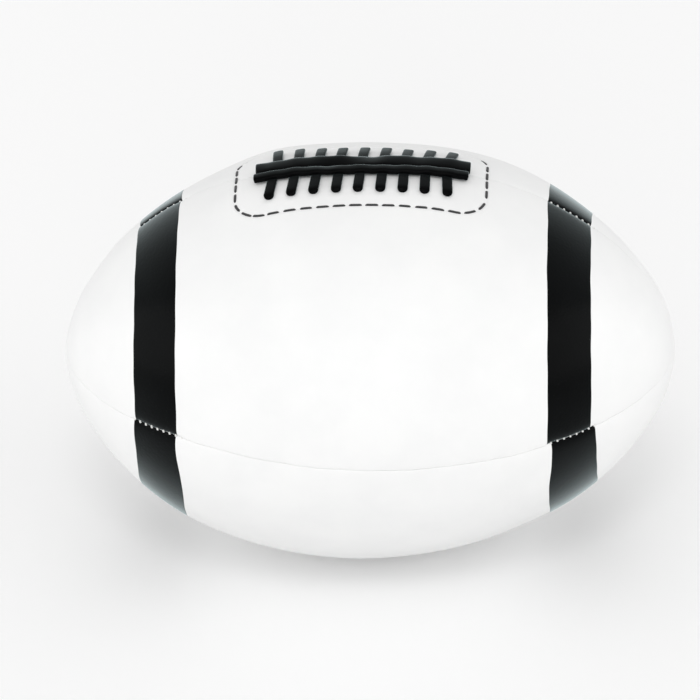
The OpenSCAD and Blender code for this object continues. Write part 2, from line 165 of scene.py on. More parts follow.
def smooth(lo, hi, v):
    """0 up to lo, 1 from hi on, and a smooth step between."""
    t = np.clip((v - lo) / (hi - lo), 0, 1)
    return t * t * (3 - 2 * t)


def hill(v, spread):
    """1 at v = 0, falling off smoothly on both sides."""
    return np.exp(-((v / spread) ** 2))


def waves(v, seed, lengths, amount):
    """A smooth irregular line: a few sines of the given wavelengths."""
    phases = np.random.RandomState(seed).uniform(0, 2 * math.pi, len(lengths))
    return amount * sum(np.sin(2 * math.pi * v / w + p) for w, p in zip(lengths, phases)) / len(lengths)


def unit(vectors):
    return vectors / np.linalg.norm(vectors, axis=1)[:, None]


def seam_angle(k, x):
    """Angle of seam k at x: it bows and wanders a little, as a sewn seam does."""
    r = meridian(x)[0]
    bow = sum(np.interp(x + d, BOW_X, BOW.get(k % 4, NO_BOW)) for d in BOW_SPREAD) / len(BOW_SPREAD)
    wander = waves(x, WANDER_SEED + k % 4, WANDER_WAVES, WANDER) * smooth(*WANDER_R, r)
    return SEAMS[k] + np.radians(bow) + wander / np.maximum(r, WANDER_R[0])


def by_stripe(x):
    """1 where the black strips thicken the seam, 0 on the white."""
    return 1 - smooth(*STRIPE_FADE, np.abs(np.abs(x) - STRIPE_X) - STRIPE_W / 2)


def seam_drop(dist, x, k):
    """Depth of the valley at a distance from seam k."""
    r = meridian(x)[0]
    base = TOP_PULL if k % 4 == 0 else OTHER_PULL
    pull = base + (1 - base) * by_stripe(x) + waves(x, PULL_SEED + k % 4, PULL_WAVES, PULL_CHANGE)
    valley = VALLEY_DEPTH * np.exp(-dist / VALLEY_REACH) + CREASE_DEPTH * np.exp(-dist / CREASE_REACH)
    return pull * valley * smooth(*VALLEY_R, r)


def cover_lift(x, angle):
    """How the filled cover departs from a true surface of revolution.

    The stiff lacing flattens its top, it swells behind the lacing's ends, sags a little to the left under
    the front seam, and its tips are drawn in.
    """
    u = np.abs(x - LACE_X)
    flat = (FLAT_RISE * smooth(*FLAT_FROM, u) - FLAT_SINK) * (1 - smooth(*FLAT_TO, u)) * hill(angle, FLAT_ARC)
    back = sum(height * hill(x - at, spread) for height, at, spread in BACK_SWELLS)
    back = back * smooth(*BACK_FROM, -angle) * smooth(*BACK_TO, angle)
    sag = sum(height * hill(x - at, spread) for height, at, spread in FRONT_SAGS)
    sag = sag * smooth(*SAG_FROM, angle) * (1 - smooth(*SAG_TO, angle))
    r = meridian(x)[0]
    drawn = np.where(x < 0, LEFT_DRAW, RIGHT_DRAW) * smooth(*DRAW_FROM, r) * (1 - smooth(*DRAW_TO, r))
    return flat + back + sag - drawn


def frame_gap(u, v):
    """Distance from the stitched frame's line, at u from the lacing's middle and v from the slit."""
    qx = np.abs(u) - (FRAME_LEN / 2 - FRAME_R)
    qy = np.abs(v) - (FRAME_W / 2 - FRAME_R)
    outside = np.hypot(np.maximum(qx, 0), np.maximum(qy, 0))
    return outside + np.minimum(np.maximum(qx, qy), 0) - FRAME_R


def back_row(s):
    """0 to 1 towards the frame's long side behind the lacing, which is pulled deep into the cover."""
    return smooth(FRAME_W / 2 - FRAME_R, FRAME_W / 2 - 1, -s)


def bar_x(i, s):
    """x of bar i at a distance s from the slit: the two punched edges lie a little out of step."""
    n = i - MID_BAR
    s = np.asarray(s, float)
    bend = RIGHT_BEND * max(n, 0) ** 2 - LEFT_BEND * min(n, 0) ** 2
    near_end = NEAR_LEAN + NEAR_LEAN_STEP * n + bend
    far_end = FAR_LEAN + FAR_LEAN_CURVE * n * n + FAR_BEND * bend
    lean = (np.abs(s) / LEAN_RUN) ** LEAN_POWER
    upright = np.where(s < 0, smooth(*UPRIGHT_BARS, -n), 0)
    lean = lean + upright * (smooth(0, UPRIGHT_RUN, np.abs(s)) - lean)
    return LACE_X + LACE_PITCH * n - bend + np.where(s > 0, near_end, far_end) * lean


def reach_back(i):
    """0 to 1: all bars but those at the right reach further behind the slit and lie higher there."""
    return 1 - smooth(*REACH_BARS, i - MID_BAR)


def tip_of(i, side):
    """Distance of a bar's tip from the slit."""
    return NEAR_TIP if side > 0 else FAR_TIP + FAR_EXTRA * reach_back(i)


def cover_drop(x, angle, panel):
    """How far the cover lies under the plain surface of revolution."""
    r = meridian(x)[0]
    k = PANELS.index(panel)
    drop = np.zeros(np.broadcast(x, angle).shape)
    for seam in (k, k + 1):
        drop = drop + seam_drop(np.abs(angle - seam_angle(seam, x)) * r, x, seam)
    p = place(x, angle)
    for axis, seed in enumerate(UNEVEN_SEEDS):
        drop = drop + waves(p[..., axis] + UNEVEN_SKEW * p[..., axis - 1], seed, UNEVEN_WAVES, UNEVEN)
    turned = np.where(angle > math.pi, angle - 2 * math.pi, angle)
    drop = drop - cover_lift(x, turned)
    if panel.endswith("upper"):
        s = turned * r
        groove = GROOVE_DEPTH + BACK_GROOVE * back_row(s)
        drop = drop + groove * hill(frame_gap(x - LACE_X, s), GROOVE_W)
        side = 1 if panel == "front_upper" else -1
        for i in range(LACE_COUNT):
            tip = side * tip_of(i, side)
            drop = drop + DENT_DEPTH * hill(x - bar_x(i, tip), DENT_X) * hill(s - tip, DENT_S)
    if panel == "back_lower":
        past_hole = np.hypot(x - VALVE_X, (angle - VALVE_ANGLE) * r) - VALVE_R
        drop = drop + VALVE_DENT * hill(np.maximum(past_hole, 0), VALVE_DENT_REACH)
    return drop


# Meshes

def new_object(name, verts, faces):
    mesh = bpy.data.meshes.new(name)
    mesh.from_pydata((np.asarray(verts).reshape(-1, 3) * MM).tolist(), [], faces)
    bm = bmesh.new()
    bm.from_mesh(mesh)
    bmesh.ops.recalc_face_normals(bm, faces=bm.faces)
    bm.to_mesh(mesh)
    bm.free()
    mesh.polygons.foreach_set("use_smooth", [True] * len(mesh.polygons))
    obj = bpy.data.objects.new(name, mesh)
    bpy.context.scene.collection.objects.link(obj)
    return obj


def shell(top, bottom):
    """A closed skin between two grids of points."""
    n, m = top.shape[:2]
    index = np.arange(n * m).reshape(n, m)
    a, b, c, d = index[:-1, :-1], index[1:, :-1], index[1:, 1:], index[:-1, 1:]
    faces = np.stack([a, b, c, d], -1).reshape(-1, 4).tolist()
    faces += (np.stack([d, c, b, a], -1).reshape(-1, 4) + n * m).tolist()
    rim = [*index[:, 0], *index[-1, 1:], *index[-2::-1, -1], *index[0, -2:0:-1]]
    for i, p in enumerate(rim):
        q = rim[(i + 1) % len(rim)]
        faces.append([int(q), int(p), int(p + n * m), int(q + n * m)])
    return np.concatenate([top.reshape(-1, 3), bottom.reshape(-1, 3)]), faces


def sweep(points, wide, up, half_w, half_t, sides=16, power=3.2):
    """A closed bar along a path; the higher the power, the flatter its rounded section."""
    ang = np.arange(sides) * 2 * math.pi / sides
    cs, sn = np.cos(ang), np.sin(ang)
    sx = (np.sign(cs) * np.abs(cs) ** (2 / power))[None, :, None]
    sy = (np.sign(sn) * np.abs(sn) ** (2 / power))[None, :, None]
    n = len(points)
    half_w = np.broadcast_to(half_w, n)[:, None, None]
    half_t = np.broadcast_to(half_t, n)[:, None, None]
    rings = points[:, None] + half_w * sx * wide[:, None] + half_t * sy * up[:, None]
    verts = np.concatenate([rings.reshape(-1, 3), points[:1], points[-1:]])
    faces = []
    for i in range(n - 1):
        for j in range(sides):
            k = (j + 1) % sides
            faces.append([i * sides + j, i * sides + k, (i + 1) * sides + k, (i + 1) * sides + j])
    first, last = n * sides, n * sides + 1
    for j in range(sides):
        k = (j + 1) % sides
        faces.append([first, k, j])
        faces.append([last, (n - 1) * sides + j, (n - 1) * sides + k])
    return verts, faces


def gather(parts):
    """Several closed skins as one mesh."""
    verts, faces, start = [], [], 0
    for v, f in parts:
        verts.append(v)
        faces += [[i + start for i in face] for face in f]
        start += len(v)
    return np.concatenate(verts), faces


def lathe(profile, x, angle, sides=64):
    """A turned skin about the surface normal at a place; the profile is (radius, height) and is closed."""
    along, around, out = directions(x, angle)
    turn = np.arange(sides) * 2 * math.pi / sides
    profile = np.asarray(profile, float)
    ring = np.cos(turn)[:, None] * along + np.sin(turn)[:, None] * around
    verts = place(x, angle) + profile[None, :, :1] * ring[:, None] + profile[None, :, 1:] * out
    n = len(profile)
    faces = []
    for i in range(sides):
        a, b = i * n, (i + 1) % sides * n
        for j in range(n):
            k = (j + 1) % n
            faces.append([a + j, a + k, b + k, b + j])
    return verts.reshape(-1, 3), faces


# Materials, with texture scales per metre

SHEEN_TINT = (0.82, 0.98, 1, 1)
BLACK_DARK, BLACK_LIGHT = (0.0006, 0.0006, 0.0007), (0.0016, 0.0016, 0.0018)


def node_tree(name):
    mat = bpy.data.materials.new(name)
    mat.use_nodes = True
    tree = mat.node_tree
    tree.nodes.clear()
    return mat, tree, tree.nodes.new("ShaderNodeOutputMaterial")


def principled(name):
    mat, tree, out = node_tree(name)
    bsdf = tree.nodes.new("ShaderNodeBsdfPrincipled")
    tree.links.new(bsdf.outputs[0], out.inputs[0])
    return mat, tree, bsdf


def add(tree, kind, values=None, **props):
    node = tree.nodes.new(kind)
    for key, value in props.items():
        setattr(node, key, value)
    for key, value in (values or {}).items():
        if isinstance(value, bpy.types.NodeSocket):
            tree.links.new(value, node.inputs[key])
        else:
            node.inputs[key].default_value = value
    return node


def ramp(tree, fac, lo, hi, dark, light):
    node = add(tree, "ShaderNodeValToRGB", {"Fac": fac})
    for element, at, shade in zip(node.color_ramp.elements, (lo, hi), (dark, light)):
        element.position = at
        element.color = (*shade, 1)
    return node.outputs["Color"]


def span(tree, fac, lo, hi):
    return add(tree, "ShaderNodeMapRange", {"Value": fac, "To Min": lo, "To Max": hi}).outputs["Result"]


def noise(tree, coord, scale, detail, rough=0.55):
    values = {"Vector": coord, "Scale": scale, "Detail": detail, "Roughness": rough}
    return add(tree, "ShaderNodeTexNoise", values).outputs["Fac"]


def pebbles(tree, coord, scale):
    values = {"Vector": coord, "Scale": scale}
    return add(tree, "ShaderNodeTexVoronoi", values, feature="SMOOTH_F1").outputs["Distance"]


def bands(tree, coord, scale, distortion, detail, direction):
    values = {"Vector": coord, "Scale": scale, "Distortion": distortion, "Detail": detail}
    return add(tree, "ShaderNodeTexWave", values, bands_direction=direction).outputs["Fac"]


def math_node(tree, op, a, b):
    return add(tree, "ShaderNodeMath", {0: a, 1: b}, operation=op).outputs[0]


def bump(tree, height, strength, distance, normal=None):
    values = {"Height": height, "Strength": strength, "Distance": distance}
    if normal is not None:
        values["Normal"] = normal
    return add(tree, "ShaderNodeBump", values).outputs["Normal"]


def coords(tree):
    return add(tree, "ShaderNodeTexCoord").outputs["Object"]


def set_surface(tree, bsdf, color, roughness, normal):
    tree.links.new(color, bsdf.inputs["Base Color"])
    tree.links.new(roughness, bsdf.inputs["Roughness"])
    tree.links.new(normal, bsdf.inputs["Normal"])


def set_gloss(bsdf, specular, sheen, sheen_rough):
    bsdf.inputs["Specular IOR Level"].default_value = specular
    bsdf.inputs["Sheen Weight"].default_value = sheen
    bsdf.inputs["Sheen Roughness"].default_value = sheen_rough
    bsdf.inputs["Sheen Tint"].default_value = SHEEN_TINT


def grained(name, dark, light, rough, scale, grain, fine=0.0, wrinkle=0.0, specular=0.5, sheen=0.0):
    """Coated leather: pebble grain, a finer grain on it, wrinkles, and slow changes of shade and gloss."""
    mat, tree, bsdf = principled(name)
    at = coords(tree)
    color = ramp(tree, noise(tree, at, scale=38.0, detail=5.0), 0.35, 0.65, dark, light)
    roughness = span(tree, noise(tree, at, scale=170.0, detail=3.0), *rough)
    normal = bump(tree, pebbles(tree, at, scale), grain, distance=0.25 * MM)
    if fine:
        grit = noise(tree, at, scale=scale * 3.1, detail=3.0)
        normal = bump(tree, grit, fine, distance=0.12 * MM, normal=normal)
    if wrinkle:
        crease = noise(tree, at, scale=120.0, detail=6.0, rough=0.6)
        normal = bump(tree, crease, wrinkle, distance=0.6 * MM, normal=normal)
    set_surface(tree, bsdf, color, roughness, normal)
    set_gloss(bsdf, specular, sheen, sheen_rough=0.32)
    return mat


def moulded(name, dark, light, rough, specular=0.5, sheen=0.0):
    """Smooth moulded rubber with a faint flow texture and dusty patches."""
    mat, tree, bsdf = principled(name)
    at = coords(tree)
    color = ramp(tree, noise(tree, at, scale=60.0, detail=5.0), 0.3, 0.7, dark, light)
    roughness = span(tree, noise(tree, at, scale=240.0, detail=4.0), *rough)
    flow = noise(tree, at, scale=420.0, detail=3.0)
    grit = noise(tree, at, scale=2600.0, detail=2.0)
    normal = bump(tree, flow, strength=0.15, distance=0.3 * MM)
    normal = bump(tree, grit, strength=0.075, distance=0.06 * MM, normal=normal)
    set_surface(tree, bsdf, color, roughness, normal)
    set_gloss(bsdf, specular, sheen, sheen_rough=0.29)
    return mat


def spun(name, dark, light, rough):
    """Twisted thread: diagonal plies and stray fibres, with painted shade in the grooves between the plies.
    """
    mat, tree, bsdf = principled(name)
    at = coords(tree)
    ply = bands(tree, at, scale=2400.0, distortion=1.5, detail=2.0, direction="DIAGONAL")
    fibre = noise(tree, at, scale=5200.0, detail=3.0)
    normal = bump(tree, ply, strength=0.5, distance=0.12 * MM)
    normal = bump(tree, fibre, strength=0.3, distance=0.05 * MM, normal=normal)
    # The colour follows the plies' bump: painted shade, darker in the grooves between the plies
    set_surface(tree, bsdf, ramp(tree, ply, 0.1, 0.9, dark, light), span(tree, fibre, *rough), normal)
    bsdf.inputs["Sheen Weight"].default_value = 0.15
    bsdf.inputs["Sheen Roughness"].default_value = 0.5
    return mat


def woven(name, dark, light, pitch):
    """Plain weave of two sets of yarn, with painted shade between the yarns."""
    mat, tree, bsdf = principled(name)
    at = coords(tree)
    warp, weft = (bands(tree, at, pitch, distortion=0.6, detail=1.0, direction=axis) for axis in "XY")
    weave = math_node(tree, "MULTIPLY", warp, weft)
    fuzz = noise(tree, at, scale=1500.0, detail=3.0)
    normal = bump(tree, weave, strength=0.6, distance=0.3 * MM)
    normal = bump(tree, fuzz, strength=0.25, distance=0.1 * MM, normal=normal)
    # The colour follows the weave's bump: painted shade, darker between the yarns
    set_surface(tree, bsdf, ramp(tree, weave, 0.0, 0.8, dark, light), span(tree, fuzz, 0.8, 0.95), normal)
    return mat


MATERIALS = {
    "cover_white": grained("cover_leather", (0.872, 0.874, 0.872), (0.9, 0.901, 0.897), (0.42, 0.56),
                           scale=1150.0, grain=0.1, fine=0.06, wrinkle=0.035),
    "stripe_black": grained("stripe_leather", BLACK_DARK, BLACK_LIGHT, (0.17, 0.25), scale=1000.0,
                            grain=0.16, fine=0.08, wrinkle=0.04, specular=0.03, sheen=0.9),
    "lining_cloth": woven("lining_weave", (0.55, 0.52, 0.46), (0.78, 0.75, 0.68), pitch=900.0),
    "thread_white": spun("thread_white", (0.78, 0.78, 0.76), (0.93, 0.93, 0.91), (0.45, 0.7)),
    "thread_black": spun("thread_black", (0.008, 0.008, 0.009), (0.03, 0.03, 0.032), (0.4, 0.6)),
    "lace_black": moulded("lace_rubber", BLACK_DARK, BLACK_LIGHT, (0.2, 0.3), specular=0.03, sheen=0.9),
    "facing_cloth": woven("facing_weave", (0.44, 0.41, 0.35), (0.62, 0.59, 0.52), pitch=700.0),
    "tongue_hide": grained("tongue_leather", (0.04, 0.04, 0.044), (0.06, 0.06, 0.066), (0.6, 0.75),
                           scale=900.0, grain=0.2),
    "bladder_rubber": moulded("bladder_rubber", (0.022, 0.022, 0.024), (0.036, 0.036, 0.04), (0.6, 0.75)),
    "valve_rubber": moulded("valve_rubber", (0.04, 0.04, 0.044), (0.062, 0.062, 0.067), (0.5, 0.62)),
    "plug_rubber": moulded("plug_rubber", (0.014, 0.014, 0.015), (0.026, 0.026, 0.028), (0.55, 0.7)),
}


def dress(obj, slot):
    obj.data.materials.clear()
    obj.data.materials.append(MATERIALS[slot])


def finish_piece(obj, slot, node):
    """Gives a piece its material and body, in place of the CAD node that it stands for."""
    dress(obj, slot)
    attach(obj, "root")
    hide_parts(node)


# Cover panels: closed skins whose edges roll into the seams

# Distances of the grid lines from a seam, with more of them where the lacing and its frame dent the cover
EDGE = [0.1, 0.25, 0.45, 0.7, 1.0, 1.35, 1.75, 2.2, 2.7, 3.4, 4.4, 5.8, 7.6, 9.8]
LACED_EDGE = [*EDGE, 11.4, *np.arange(12.4, 24, 0.62), 24.3, 24.8, 25.3, 25.65, 26, 26.35, 26.7, 27.2,
              28.1, 29.6, 32]
# Distances of the grid lines from the valve's middle, and of the even ones beside them
VALVE_TICKS = [1, 2.6, 4, 5, 5.7, 6.5, 7.6, 9, 11]
VALVE_ROOM = 12.5
# Distances of the grid rows from the frame's short sides
FRAME_TICKS = [*np.arange(-13.2, -1, 0.5), -0.6, -0.3, 0, 0.3, 0.6]
ROW_COUNT, TIP_GAP, ROW_GAP = 321, 0.15, 0.25
# Counts of even grid lines over a panel and beside the valve, and the half width that takes full distances
MIDDLE_LINES, VALVE_LINES, FULL_HALF = 34, 12, 40.0
DRILL_FROM, DRILL_TO, DRILL_CORE = -9, 5, 0.01
UNDER_SHARE = 0.8


def columns(panel, x):
    """Angles of a panel's grid lines at each x, close together at its seams."""
    k = PANELS.index(panel)
    a0, a1 = seam_angle(k, x), seam_angle(k + 1, x)
    r = np.maximum(meridian(x)[0], 1e-3)[:, None]
    half = (a1 - a0)[:, None] * r / 2
    shrink = np.minimum(1, half / FULL_HALF)
    left = np.array(LACED_EDGE if panel == "front_upper" else EDGE) * shrink
    right = np.array(LACED_EDGE if panel == "back_upper" else EDGE) * shrink
    if panel == "back_lower":
        near = np.array([-d for d in VALVE_TICKS[::-1]] + VALVE_TICKS) * shrink
        outer = half - right[:, -1:]
        ticks = -outer + (outer - VALVE_ROOM * shrink) * np.linspace(0, 1, VALVE_LINES)[1:]
        middle = half + np.concatenate([ticks, near, -ticks[:, ::-1]], 1)
    else:
        t = np.linspace(0, 1, MIDDLE_LINES)[1:-1]
        middle = left[:, -1:] + t * (2 * half - right[:, -1:] - left[:, -1:])
    dist = np.concatenate([left, middle, 2 * half - right[:, ::-1]], 1)
    return a0[:, None] + dist / r


def panel_rows():
    """x of a panel's grid rows: even runs from tip to tip, and closer ones at the frame's short sides."""
    even = run_to_x(np.linspace(-HALF_RUN + TIP_GAP, HALF_RUN - TIP_GAP, ROW_COUNT))
    close = [LACE_X + side * (FRAME_LEN / 2 + d) for side in (-1, 1) for d in FRAME_TICKS]
    apart = [x for x in even if min(abs(x - c) for c in close) > ROW_GAP]
    return np.sort(np.concatenate([apart, close]))


def drill_valve_hole(obj):
    profile = [(DRILL_CORE, DRILL_FROM), (VALVE_R, DRILL_FROM), (VALVE_R, DRILL_TO), (DRILL_CORE, DRILL_TO)]
    drill = new_object("drill", *lathe(profile, VALVE_X, VALVE_ANGLE))
    cut = obj.modifiers.new("valve_hole", "BOOLEAN")
    cut.operation, cut.solver, cut.object = "DIFFERENCE", "EXACT", drill
    bpy.context.view_layer.update()
    cut_mesh = bpy.data.meshes.new_from_object(obj.evaluated_get(bpy.context.evaluated_depsgraph_get()))
    obj.modifiers.clear()
    obj.data = cut_mesh
    bpy.data.objects.remove(drill)


rows = panel_rows()
for panel in PANELS:
    angle = columns(panel, rows)
    x = np.broadcast_to(rows[:, None], angle.shape)
    drop = cover_drop(x, angle, panel)
    under = place(x, angle, -np.maximum(COVER_T, drop + UNDER_SHARE * COVER_T))
    obj = new_object("cover_" + panel, *shell(place(x, angle, -drop), under))
    if panel == "back_lower":
        drill_valve_hole(obj)
    finish_piece(obj, "cover_white", "panel_" + panel)

# Strips: thin, with wavy cut edges, following the cover into the seams

# Distances of the grid lines from a cut edge, and the strip's height over the cover, rounded at its edges
CUT_EDGE, CUT_MARGIN, STRIPE_LINES = [0, 0.12, 0.3, 0.6, 1.2], 2.2, 15
STRIPE_RISE, STRIPE_SINK, STRIPE_ROUND = 0.16, 0.1, 0.35
STRIPE_UNDER = 0.4
CUT_WAVE, CUT_WAVES, CUT_SEED = 0.2, (37, 61, 17), 50
FLARE_RUN = (2, 30)

for panel in PANELS:
    for end, (side, name) in enumerate(((-1, "left"), (1, "right"))):
        mid = side * STRIPE_X + STRIPE_SHIFT[panel][end]
        seed = CUT_SEED + PANELS.index(panel) * 2 + end
        between = np.linspace(CUT_MARGIN, STRIPE_W - CUT_MARGIN, STRIPE_LINES)
        across = np.array([*CUT_EDGE, *between, *(STRIPE_W - d for d in CUT_EDGE[::-1])]) - STRIPE_W / 2
        lift = STRIPE_RISE * smooth(0, STRIPE_ROUND, STRIPE_W / 2 - np.abs(across)) - STRIPE_SINK
        angle = columns(panel, mid + across)
        turn = (angle - angle[:, :1]) * meridian(mid)[0]
        first, last = STRIPE_FLARE.get((panel, side), (0, 0))
        lean = smooth(*FLARE_RUN, turn) * smooth(*FLARE_RUN, turn[:, -1:] - turn)
        x = mid + across[:, None] + waves(turn, seed, CUT_WAVES, CUT_WAVE)
        x = x + lean * (first + (last - first) * (across[:, None] / STRIPE_W + 0.5))
        drop = cover_drop(x, angle, panel)
        verts, faces = shell(place(x, angle, lift[:, None] - drop), place(x, angle, -STRIPE_UNDER - drop))
        obj = new_object("strip_%s_%s" % (panel, name), verts, faces)
        finish_piece(obj, "stripe_black", "stripe_%s_%s" % (panel, name))

# Seam stitches: short threads across the valleys, with none under the lacing

STITCH_PITCH, STITCH_MARGIN, STITCH_SLANT = 3.25, 9, 0.2
STITCH_HALF, STITCH_HALF_W, STITCH_HALF_T = 0.8, 0.48, 0.43
STITCH_SINK, TIGHT_SINK, STRIPE_LIFT, STITCH_BEND = 0.98, 1.12, 0.13, 0.4
LACED_HALF = 49


def stitch(k, x):
    """One stitch across seam k; those at the right of the front seam are drawn in tighter."""
    t = np.linspace(-1, 1, 9)
    u = t * STITCH_HALF * rng.uniform(0.92, 1.08)
    slant = STITCH_SLANT + rng.uniform(-0.1, 0.1)
    xs = x + u * slant
    angle = seam_angle(k, xs) + u / meridian(xs)[0]
    sink = TIGHT_SINK if k == 1 and x > 0 else STITCH_SINK
    height = cover_lift(xs, angle) - sink + STRIPE_LIFT * by_stripe(x) - STITCH_BEND * t ** 4
    along, around, out = directions(xs, angle)
    wide = np.cross(out, unit(around + along * slant))
    taper = np.sqrt(1 - 0.9 * t ** 4)
    points = place(xs, angle, height)
    return sweep(points, wide, out, STITCH_HALF_W * taper, STITCH_HALF_T * taper, sides=10, power=2.0)


for k, name in enumerate(SEAM_NAMES):
    places = run_to_x(np.arange(-HALF_RUN + STITCH_MARGIN, HALF_RUN - STITCH_MARGIN, STITCH_PITCH))
    parts = [stitch(k, float(x)) for x in places if k > 0 or abs(x - LACE_X) >= LACED_HALF]
    finish_piece(new_object("seam_stitches_" + name, *gather(parts)), "thread_white", "seam_thread_" + name)

# Cross lace: bars over the slit, legs through the cover and runs beneath it

BAR_BLUNT, BAR_ROUND, BAR_SKEW = 1.8, 2.6, 0.006
BAR_RAISE, RAISE_FROM = 0.4, (5, 14)
DIVE_NEAR, DIVE_FAR, DIVE_DEPTH, DIVE_POWER = 2.4, 1.4, 1.35, 2.2
LEG_INSET, LEG_TOP, LEG_FOOT, LEG_HALF_W, LEG_HALF_T = 1.3, -0.2, -4.6, 1.5, 0.7
RUN_DEPTH, RUN_OVERHANG, RUN_HALF_T = 4.4, 1.6, 0.75


def bar(i):
    """One bar of the cross lace over the slit; its blunt tips dive into the punched holes."""
    blunt = BAR_BLUNT * np.sin(np.linspace(0, math.pi / 2, 9))[1:]
    runs = [tip_of(i, side) - BAR_BLUNT for side in (-1, 1)]
    far, near = (np.concatenate([np.linspace(0, run, 20), run + blunt]) for run in runs)
    s = np.concatenate([-far[:0:-1], near])
    left = np.where(s > 0, NEAR_TIP - s, tip_of(i, -1) + s)
    past = np.clip(1 - left / BAR_BLUNT, 0, 1)
    dive = np.maximum(1 - left / np.where(s > 0, DIVE_NEAR, DIVE_FAR), 0)
    raised = BAR_RAISE * reach_back(i) * smooth(*RAISE_FROM, -s)
    height = LACE_REST + LACE_T / 2 + raised - (DIVE_DEPTH + raised) * dive ** DIVE_POWER
    x = bar_x(i, s) + BAR_SKEW * s * math.sin(2.4 * i + 0.7)
    angle = s / meridian(x)[0]
    points = place(x, angle, height + cover_lift(x, angle))
    along, _, out = directions(x, angle)
    heading = unit(np.gradient(points, axis=0))
    up = np.cross(heading, along)
    up = unit(up * np.sign(np.sum(up * out, 1))[:, None])
    half_w = LACE_W / 2 * np.maximum(1 - past ** BAR_ROUND, 0.01) ** (1 / BAR_ROUND)
    half_t = LACE_T / 2 * np.maximum(1 - past ** 4, 0.05) ** 0.5
    return sweep(points, np.cross(heading, up), up, half_w, half_t, sides=24, power=3.4)


def leg(i, side):
    """The lace's passage through the cover under a bar's tip."""
    s = side * (tip_of(i, side) - LEG_INSET)
    x = np.full(6, bar_x(i, s))
    angle = s / meridian(x)[0]
    along, around, _ = directions(x, angle)
    points = place(x, angle, np.linspace(LEG_TOP, LEG_FOOT, 6))
    return sweep(points, along, around, LEG_HALF_W, LEG_HALF_T)


def under_run(i):
    """The run of the cross lace behind the cover, from one bar to the next."""
    s = LEG_INSET - FAR_TIP if i % 2 == 0 else NEAR_TIP - LEG_INSET
    x = np.linspace(bar_x(i, s) - RUN_OVERHANG, bar_x(i + 1, s) + RUN_OVERHANG, 9)
    angle = s / meridian(x)[0]
    _, around, out = directions(x, angle)
    return sweep(place(x, angle, -RUN_DEPTH), around, out, LACE_W / 2, RUN_HALF_T)


parts = [bar(i) for i in range(LACE_COUNT)] + [under_run(i) for i in range(LACE_COUNT - 1)]
parts += [leg(i, side) for i in range(LACE_COUNT) for side in (-1, 1)]
finish_piece(new_object("lace_bars", *gather(parts)), "lace_black", "cross_lace")

# Long laces: the front one narrow and taut, the back one wide, loose and rolled a little

LONG_LEN, LONG_BLUNT, LONG_DIP = 90.4, 0.55, 0.14
# x and s are its place, over and sunk its top and underside from the bars' tops, and power its section;
# bulge, wander, heave and twist are how much it strays
STRANDS = {
    "front": dict(x=0.1, s=4.05, width=4.7, over=2.05, sunk=0.95, roll=0, power=3.2,
                  bulge=0.35, wander=0.2, heave=0.12, twist=0.12),
    "back": dict(x=0.85, s=-2.1, width=8.2, over=1.95, sunk=0.6, roll=-0.13, power=2.5,
                 bulge=0, wander=0.5, heave=0.3, twist=0.2),
}
BULGE_X, BULGE_SPREAD, END_FADE = 27, 16.0, 8
HEAVE_SEED, WANDER_ACROSS_SEED, TWIST_SEED = 71, 82, 91
HEAVE_WAVES, ACROSS_WAVES, TWIST_WAVES = (31, 53, 19), (43, 27, 67), (23, 37, 61)
TUCK_POINTS, TUCK_TURN = (11, -12), 0.012
TUCK_TOP, TUCK_FOOT, TUCK_HALF_W, TUCK_HALF_T = 2.0, -4.6, 1.0, 0.8


def long_lace(side, strand):
    """One long lace over the bars. It dips between the bars and its ends are cut square."""
    reach, blunt = LONG_LEN / 2, LONG_BLUNT
    ends = reach - blunt + blunt * np.sin(np.linspace(0, math.pi / 2, 8))[1:]
    u = np.concatenate([-ends[::-1], np.linspace(-reach + blunt, reach - blunt, 181), ends])
    left = reach - np.abs(u)
    fade = smooth(0, END_FADE, left)
    dip = LONG_DIP * (np.cos(2 * math.pi * u / LACE_PITCH) - 1) * fade
    bars_top = LACE_REST + LACE_T
    heave = waves(u, HEAVE_SEED + side, HEAVE_WAVES, strand["heave"]) * fade
    high = dip + bars_top + strand["over"] + heave
    low = dip + bars_top - strand["sunk"]
    x = LACE_X + strand["x"] + u
    s = strand["s"] + strand["bulge"] * hill(u - BULGE_X, BULGE_SPREAD)
    s = s + waves(u, WANDER_ACROSS_SEED + side, ACROSS_WAVES, strand["wander"]) * fade
    roll = strand["roll"] + waves(u, TWIST_SEED + side, TWIST_WAVES, strand["twist"]) * fade
    angle = s / meridian(x)[0]
    points = place(x, angle, (high + low) / 2 + cover_lift(x, angle))
    _, around, out = directions(x, angle)
    c, n = np.cos(roll)[:, None], np.sin(roll)[:, None]
    off = blunt * (1 - np.sqrt(1 - np.clip(1 - left / blunt, 0, 1) ** 2))
    body = sweep(points, around * c + out * n, out * c - around * n, strand["width"] / 2 - off,
                 (high - low) / 2 - off, sides=28, power=strand["power"])
    return [body] + [tuck(x[j], angle[j] - TUCK_TURN * side) for j in TUCK_POINTS]


def tuck(x, angle):
    """The turned-down end of a long lace, through the cover under its square end."""
    x, angle = np.full(6, x), np.full(6, angle)
    along, around, _ = directions(x, angle)
    points = place(x, angle, np.linspace(TUCK_TOP, TUCK_FOOT, 6) + cover_lift(x, angle))
    return sweep(points, around, along, TUCK_HALF_W, TUCK_HALF_T)


for side, name in LACED_SIDES:
    obj = new_object("lace_strand_" + name, *gather(long_lace(side, STRANDS[name])))
    finish_piece(obj, "lace_black", "long_lace_" + name)

# Dashed stitches round the lacing

